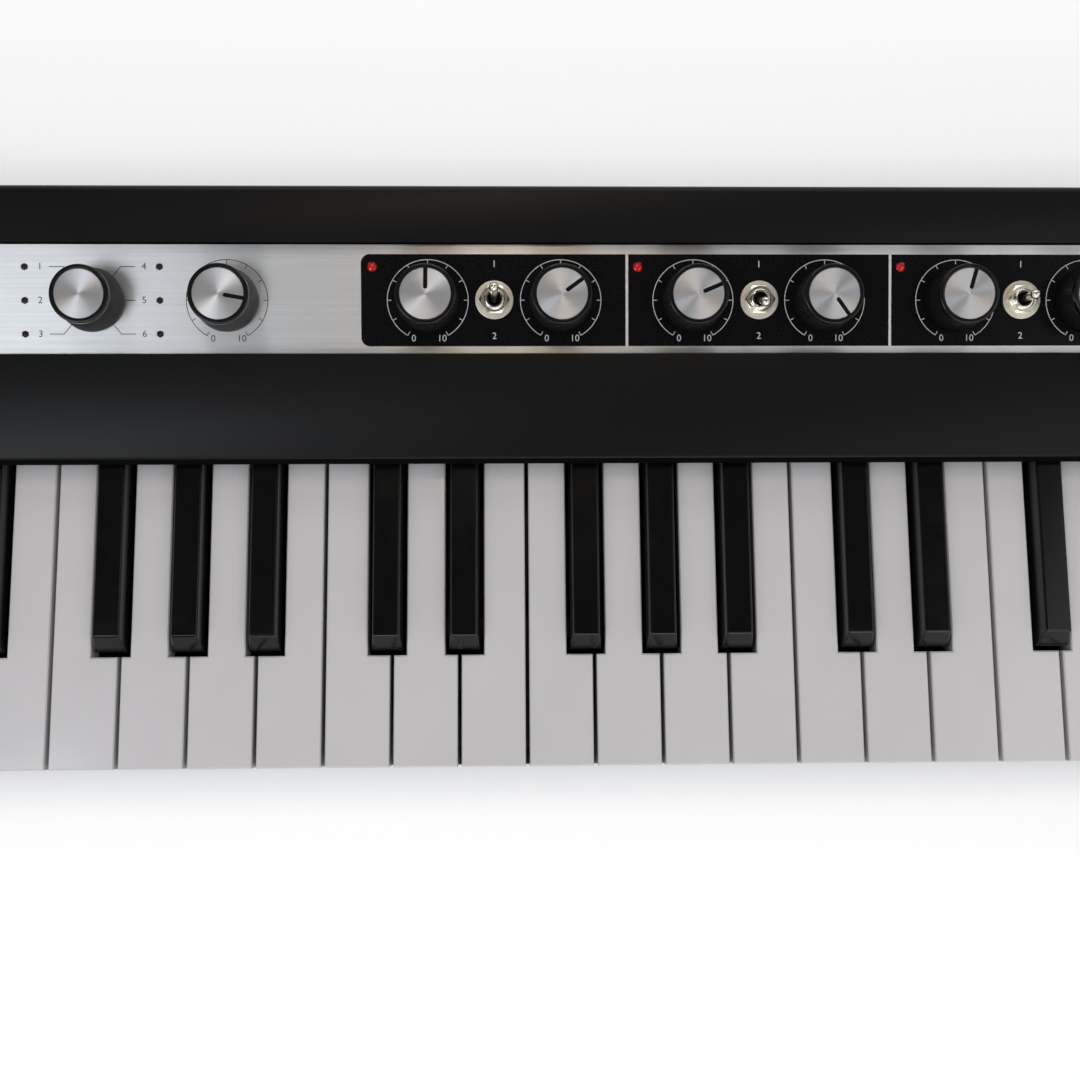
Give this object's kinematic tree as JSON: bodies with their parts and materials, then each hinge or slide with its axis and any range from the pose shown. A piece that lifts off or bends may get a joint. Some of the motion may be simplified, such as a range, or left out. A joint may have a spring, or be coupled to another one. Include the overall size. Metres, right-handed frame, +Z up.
{
  "type": "mini keyboard instrument",
  "caption": "Small electronic keyboard: narrow hinged keys in a black case, sloping brushed control strip with turning knobs, lever switches and a slide, and a battery bay.",
  "frame": {"origin": "on the ground under the middle of the case's box", "axes": "+X from the low keys to the high keys, +Y from the player to the back, +Z up"},
  "size_m": [0.53, 0.177, 0.0598],
  "materials": {
    "case": "fine matte texture",
    "white_keys": "gloss",
    "black_keys": "gloss",
    "knobs": "satin, with a spun metal cap",
    "buttons": "satin",
    "levers": "polished",
    "panel": "brushed along its length",
    "frame": "matte",
    "board": "satin",
    "speakers": "matte"
  },
  "bodies": {
    "case": {"lower_case": "case", "upper_case": "case", "control_panel": "panel", "key_frame": "frame", "main_board": "board", "left_speaker": "speakers", "right_speaker": "speakers"},
    "battery_cover": {"battery_cover": "case"},
    "white_key_01": {"white_key_01": "white_keys"},
    "white_key_02": {"white_key_02": "white_keys"},
    "white_key_03": {"white_key_03": "white_keys"},
    "white_key_04": {"white_key_04": "white_keys"},
    "white_key_05": {"white_key_05": "white_keys"},
    "white_key_06": {"white_key_06": "white_keys"},
    "white_key_07": {"white_key_07": "white_keys"},
    "white_key_08": {"white_key_08": "white_keys"},
    "white_key_09": {"white_key_09": "white_keys"},
    "white_key_10": {"white_key_10": "white_keys"},
    "white_key_11": {"white_key_11": "white_keys"},
    "white_key_12": {"white_key_12": "white_keys"},
    "white_key_13": {"white_key_13": "white_keys"},
    "white_key_14": {"white_key_14": "white_keys"},
    "white_key_15": {"white_key_15": "white_keys"},
    "white_key_16": {"white_key_16": "white_keys"},
    "white_key_17": {"white_key_17": "white_keys"},
    "white_key_18": {"white_key_18": "white_keys"},
    "white_key_19": {"white_key_19": "white_keys"},
    "white_key_20": {"white_key_20": "white_keys"},
    "white_key_21": {"white_key_21": "white_keys"},
    "white_key_22": {"white_key_22": "white_keys"},
    "black_key_01": {"black_key_01": "black_keys"},
    "black_key_02": {"black_key_02": "black_keys"},
    "black_key_03": {"black_key_03": "black_keys"},
    "black_key_04": {"black_key_04": "black_keys"},
    "black_key_05": {"black_key_05": "black_keys"},
    "black_key_06": {"black_key_06": "black_keys"},
    "black_key_07": {"black_key_07": "black_keys"},
    "black_key_08": {"black_key_08": "black_keys"},
    "black_key_09": {"black_key_09": "black_keys"},
    "black_key_10": {"black_key_10": "black_keys"},
    "black_key_11": {"black_key_11": "black_keys"},
    "black_key_12": {"black_key_12": "black_keys"},
    "black_key_13": {"black_key_13": "black_keys"},
    "black_key_14": {"black_key_14": "black_keys"},
    "black_key_15": {"black_key_15": "black_keys"},
    "volume_knob": {"volume_knob": "knobs"},
    "type_knob": {"type_knob": "knobs"},
    "drive_knob": {"drive_knob": "knobs"},
    "tremolo_depth_knob": {"tremolo_depth_knob": "knobs"},
    "tremolo_rate_knob": {"tremolo_rate_knob": "knobs"},
    "chorus_depth_knob": {"chorus_depth_knob": "knobs"},
    "chorus_speed_knob": {"chorus_speed_knob": "knobs"},
    "delay_depth_knob": {"delay_depth_knob": "knobs"},
    "delay_time_knob": {"delay_time_knob": "knobs"},
    "reverb_depth_knob": {"reverb_depth_knob": "knobs"},
    "tremolo_switch_lever": {"tremolo_switch_lever": "levers"},
    "chorus_switch_lever": {"chorus_switch_lever": "levers"},
    "delay_switch_lever": {"delay_switch_lever": "levers"},
    "octave_slider": {"octave_slider": "buttons"},
    "power_button": {"power_button": "buttons"}
  },
  "joints": [
    {"name": "battery_cover_open", "type": "hinge", "parent": "case", "child": "battery_cover", "pos_m": [0, 0.05465, 0.003], "axis": [-1, 0, 0], "range_deg": [0, 75]},
    {"name": "white_key_01_press", "type": "hinge", "parent": "case", "child": "white_key_01", "pos_m": [-0.2184, 0.047, 0.0245], "axis": [1, 0, 0], "range_deg": [0, 2.5], "stiffness_Nm_per_rad": 0.3, "springref_deg": -11.46},
    {"name": "white_key_02_press", "type": "hinge", "parent": "case", "child": "white_key_02", "pos_m": [-0.1976, 0.047, 0.0245], "axis": [1, 0, 0], "range_deg": [0, 2.5], "stiffness_Nm_per_rad": 0.3, "springref_deg": -11.46},
    {"name": "white_key_03_press", "type": "hinge", "parent": "case", "child": "white_key_03", "pos_m": [-0.1768, 0.047, 0.0245], "axis": [1, 0, 0], "range_deg": [0, 2.5], "stiffness_Nm_per_rad": 0.3, "springref_deg": -11.46},
    {"name": "white_key_04_press", "type": "hinge", "parent": "case", "child": "white_key_04", "pos_m": [-0.156, 0.047, 0.0245], "axis": [1, 0, 0], "range_deg": [0, 2.5], "stiffness_Nm_per_rad": 0.3, "springref_deg": -11.46},
    {"name": "white_key_05_press", "type": "hinge", "parent": "case", "child": "white_key_05", "pos_m": [-0.1352, 0.047, 0.0245], "axis": [1, 0, 0], "range_deg": [0, 2.5], "stiffness_Nm_per_rad": 0.3, "springref_deg": -11.46},
    {"name": "white_key_06_press", "type": "hinge", "parent": "case", "child": "white_key_06", "pos_m": [-0.1144, 0.047, 0.0245], "axis": [1, 0, 0], "range_deg": [0, 2.5], "stiffness_Nm_per_rad": 0.3, "springref_deg": -11.46},
    {"name": "white_key_07_press", "type": "hinge", "parent": "case", "child": "white_key_07", "pos_m": [-0.0936, 0.047, 0.0245], "axis": [1, 0, 0], "range_deg": [0, 2.5], "stiffness_Nm_per_rad": 0.3, "springref_deg": -11.46},
    {"name": "white_key_08_press", "type": "hinge", "parent": "case", "child": "white_key_08", "pos_m": [-0.0728, 0.047, 0.0245], "axis": [1, 0, 0], "range_deg": [0, 2.5], "stiffness_Nm_per_rad": 0.3, "springref_deg": -11.46},
    {"name": "white_key_09_press", "type": "hinge", "parent": "case", "child": "white_key_09", "pos_m": [-0.052, 0.047, 0.0245], "axis": [1, 0, 0], "range_deg": [0, 2.5], "stiffness_Nm_per_rad": 0.3, "springref_deg": -11.46},
    {"name": "white_key_10_press", "type": "hinge", "parent": "case", "child": "white_key_10", "pos_m": [-0.0312, 0.047, 0.0245], "axis": [1, 0, 0], "range_deg": [0, 2.5], "stiffness_Nm_per_rad": 0.3, "springref_deg": -11.46},
    {"name": "white_key_11_press", "type": "hinge", "parent": "case", "child": "white_key_11", "pos_m": [-0.0104, 0.047, 0.0245], "axis": [1, 0, 0], "range_deg": [0, 2.5], "stiffness_Nm_per_rad": 0.3, "springref_deg": -11.46},
    {"name": "white_key_12_press", "type": "hinge", "parent": "case", "child": "white_key_12", "pos_m": [0.0104, 0.047, 0.0245], "axis": [1, 0, 0], "range_deg": [0, 2.5], "stiffness_Nm_per_rad": 0.3, "springref_deg": -11.46},
    {"name": "white_key_13_press", "type": "hinge", "parent": "case", "child": "white_key_13", "pos_m": [0.0312, 0.047, 0.0245], "axis": [1, 0, 0], "range_deg": [0, 2.5], "stiffness_Nm_per_rad": 0.3, "springref_deg": -11.46},
    {"name": "white_key_14_press", "type": "hinge", "parent": "case", "child": "white_key_14", "pos_m": [0.052, 0.047, 0.0245], "axis": [1, 0, 0], "range_deg": [0, 2.5], "stiffness_Nm_per_rad": 0.3, "springref_deg": -11.46},
    {"name": "white_key_15_press", "type": "hinge", "parent": "case", "child": "white_key_15", "pos_m": [0.0728, 0.047, 0.0245], "axis": [1, 0, 0], "range_deg": [0, 2.5], "stiffness_Nm_per_rad": 0.3, "springref_deg": -11.46},
    {"name": "white_key_16_press", "type": "hinge", "parent": "case", "child": "white_key_16", "pos_m": [0.0936, 0.047, 0.0245], "axis": [1, 0, 0], "range_deg": [0, 2.5], "stiffness_Nm_per_rad": 0.3, "springref_deg": -11.46},
    {"name": "white_key_17_press", "type": "hinge", "parent": "case", "child": "white_key_17", "pos_m": [0.1144, 0.047, 0.0245], "axis": [1, 0, 0], "range_deg": [0, 2.5], "stiffness_Nm_per_rad": 0.3, "springref_deg": -11.46},
    {"name": "white_key_18_press", "type": "hinge", "parent": "case", "child": "white_key_18", "pos_m": [0.1352, 0.047, 0.0245], "axis": [1, 0, 0], "range_deg": [0, 2.5], "stiffness_Nm_per_rad": 0.3, "springref_deg": -11.46},
    {"name": "white_key_19_press", "type": "hinge", "parent": "case", "child": "white_key_19", "pos_m": [0.156, 0.047, 0.0245], "axis": [1, 0, 0], "range_deg": [0, 2.5], "stiffness_Nm_per_rad": 0.3, "springref_deg": -11.46},
    {"name": "white_key_20_press", "type": "hinge", "parent": "case", "child": "white_key_20", "pos_m": [0.1768, 0.047, 0.0245], "axis": [1, 0, 0], "range_deg": [0, 2.5], "stiffness_Nm_per_rad": 0.3, "springref_deg": -11.46},
    {"name": "white_key_21_press", "type": "hinge", "parent": "case", "child": "white_key_21", "pos_m": [0.1976, 0.047, 0.0245], "axis": [1, 0, 0], "range_deg": [0, 2.5], "stiffness_Nm_per_rad": 0.3, "springref_deg": -11.46},
    {"name": "white_key_22_press", "type": "hinge", "parent": "case", "child": "white_key_22", "pos_m": [0.2184, 0.047, 0.0245], "axis": [1, 0, 0], "range_deg": [0, 2.5], "stiffness_Nm_per_rad": 0.3, "springref_deg": -11.46},
    {"name": "black_key_01_press", "type": "hinge", "parent": "case", "child": "black_key_01", "pos_m": [-0.2095, 0.047, 0.0245], "axis": [1, 0, 0], "range_deg": [0, 2.5], "stiffness_Nm_per_rad": 0.3, "springref_deg": -11.46},
    {"name": "black_key_02_press", "type": "hinge", "parent": "case", "child": "black_key_02", "pos_m": [-0.1857, 0.047, 0.0245], "axis": [1, 0, 0], "range_deg": [0, 2.5], "stiffness_Nm_per_rad": 0.3, "springref_deg": -11.46},
    {"name": "black_key_03_press", "type": "hinge", "parent": "case", "child": "black_key_03", "pos_m": [-0.1483, 0.047, 0.0245], "axis": [1, 0, 0], "range_deg": [0, 2.5], "stiffness_Nm_per_rad": 0.3, "springref_deg": -11.46},
    {"name": "black_key_04_press", "type": "hinge", "parent": "case", "child": "black_key_04", "pos_m": [-0.1248, 0.047, 0.0245], "axis": [1, 0, 0], "range_deg": [0, 2.5], "stiffness_Nm_per_rad": 0.3, "springref_deg": -11.46},
    {"name": "black_key_05_press", "type": "hinge", "parent": "case", "child": "black_key_05", "pos_m": [-0.1013, 0.047, 0.0245], "axis": [1, 0, 0], "range_deg": [0, 2.5], "stiffness_Nm_per_rad": 0.3, "springref_deg": -11.46},
    {"name": "black_key_06_press", "type": "hinge", "parent": "case", "child": "black_key_06", "pos_m": [-0.0639, 0.047, 0.0245], "axis": [1, 0, 0], "range_deg": [0, 2.5], "stiffness_Nm_per_rad": 0.3, "springref_deg": -11.46},
    {"name": "black_key_07_press", "type": "hinge", "parent": "case", "child": "black_key_07", "pos_m": [-0.0401, 0.047, 0.0245], "axis": [1, 0, 0], "range_deg": [0, 2.5], "stiffness_Nm_per_rad": 0.3, "springref_deg": -11.46},
    {"name": "black_key_08_press", "type": "hinge", "parent": "case", "child": "black_key_08", "pos_m": [-0.0027, 0.047, 0.0245], "axis": [1, 0, 0], "range_deg": [0, 2.5], "stiffness_Nm_per_rad": 0.3, "springref_deg": -11.46},
    {"name": "black_key_09_press", "type": "hinge", "parent": "case", "child": "black_key_09", "pos_m": [0.0208, 0.047, 0.0245], "axis": [1, 0, 0], "range_deg": [0, 2.5], "stiffness_Nm_per_rad": 0.3, "springref_deg": -11.46},
    {"name": "black_key_10_press", "type": "hinge", "parent": "case", "child": "black_key_10", "pos_m": [0.0443, 0.047, 0.0245], "axis": [1, 0, 0], "range_deg": [0, 2.5], "stiffness_Nm_per_rad": 0.3, "springref_deg": -11.46},
    {"name": "black_key_11_press", "type": "hinge", "parent": "case", "child": "black_key_11", "pos_m": [0.0817, 0.047, 0.0245], "axis": [1, 0, 0], "range_deg": [0, 2.5], "stiffness_Nm_per_rad": 0.3, "springref_deg": -11.46},
    {"name": "black_key_12_press", "type": "hinge", "parent": "case", "child": "black_key_12", "pos_m": [0.1055, 0.047, 0.0245], "axis": [1, 0, 0], "range_deg": [0, 2.5], "stiffness_Nm_per_rad": 0.3, "springref_deg": -11.46},
    {"name": "black_key_13_press", "type": "hinge", "parent": "case", "child": "black_key_13", "pos_m": [0.1429, 0.047, 0.0245], "axis": [1, 0, 0], "range_deg": [0, 2.5], "stiffness_Nm_per_rad": 0.3, "springref_deg": -11.46},
    {"name": "black_key_14_press", "type": "hinge", "parent": "case", "child": "black_key_14", "pos_m": [0.1664, 0.047, 0.0245], "axis": [1, 0, 0], "range_deg": [0, 2.5], "stiffness_Nm_per_rad": 0.3, "springref_deg": -11.46},
    {"name": "black_key_15_press", "type": "hinge", "parent": "case", "child": "black_key_15", "pos_m": [0.1899, 0.047, 0.0245], "axis": [1, 0, 0], "range_deg": [0, 2.5], "stiffness_Nm_per_rad": 0.3, "springref_deg": -11.46},
    {"name": "volume_knob_turn", "type": "hinge", "parent": "case", "child": "volume_knob", "pos_m": [-0.21263, 0.05292, 0.04689], "axis": [0, 0.1564, -0.9877], "range_deg": [-115, 185]},
    {"name": "type_knob_turn", "type": "hinge", "parent": "case", "child": "type_knob", "pos_m": [-0.15188, 0.05292, 0.04689], "axis": [0, 0.1564, -0.9877], "range_deg": [-135, 135]},
    {"name": "drive_knob_turn", "type": "hinge", "parent": "case", "child": "drive_knob", "pos_m": [-0.11138, 0.05292, 0.04689], "axis": [0, 0.1564, -0.9877], "range_deg": [-250, 50]},
    {"name": "tremolo_depth_knob_turn", "type": "hinge", "parent": "case", "child": "tremolo_depth_knob", "pos_m": [-0.05063, 0.05292, 0.04689], "axis": [0, 0.1564, -0.9877], "range_deg": [-151, 149]},
    {"name": "tremolo_rate_knob_turn", "type": "hinge", "parent": "case", "child": "tremolo_rate_knob", "pos_m": [-0.01013, 0.05292, 0.04689], "axis": [0, 0.1564, -0.9877], "range_deg": [-204, 96]},
    {"name": "chorus_depth_knob_turn", "type": "hinge", "parent": "case", "child": "chorus_depth_knob", "pos_m": [0.03038, 0.05292, 0.04689], "axis": [0, 0.1564, -0.9877], "range_deg": [-217, 83]},
    {"name": "chorus_speed_knob_turn", "type": "hinge", "parent": "case", "child": "chorus_speed_knob", "pos_m": [0.07088, 0.05292, 0.04689], "axis": [0, 0.1564, -0.9877], "range_deg": [-294.5, 5.5]},
    {"name": "delay_depth_knob_turn", "type": "hinge", "parent": "case", "child": "delay_depth_knob", "pos_m": [0.11138, 0.05292, 0.04689], "axis": [0, 0.1564, -0.9877], "range_deg": [-165.6, 134.4]},
    {"name": "delay_time_knob_turn", "type": "hinge", "parent": "case", "child": "delay_time_knob", "pos_m": [0.15188, 0.05292, 0.04689], "axis": [0, 0.1564, -0.9877], "range_deg": [-190, 110]},
    {"name": "reverb_depth_knob_turn", "type": "hinge", "parent": "case", "child": "reverb_depth_knob", "pos_m": [0.19238, 0.05292, 0.04689], "axis": [0, 0.1564, -0.9877], "range_deg": [-80, 220]},
    {"name": "tremolo_switch_lever_flip", "type": "hinge", "parent": "case", "child": "tremolo_switch_lever", "pos_m": [-0.03038, 0.05289, 0.04708], "axis": [1, 0, 0], "range_deg": [0, 25]},
    {"name": "chorus_switch_lever_flip", "type": "hinge", "parent": "case", "child": "chorus_switch_lever", "pos_m": [0.05063, 0.05289, 0.04708], "axis": [1, 0, 0], "range_deg": [-25, 0]},
    {"name": "delay_switch_lever_flip", "type": "hinge", "parent": "case", "child": "delay_switch_lever", "pos_m": [0.13163, 0.05289, 0.04708], "axis": [1, 0, 0], "range_deg": [-12.5, 12.5]},
    {"name": "octave_slide", "type": "slide", "parent": "case", "child": "octave_slider", "axis": [1, 0, 0], "range_m": [-0.004, 0.004]},
    {"name": "power_button_press", "type": "slide", "parent": "case", "child": "power_button", "axis": [0, -1, 0], "range_m": [0, 0.001], "stiffness_N_per_m": 600, "springref_m": -0.001}
  ]
}
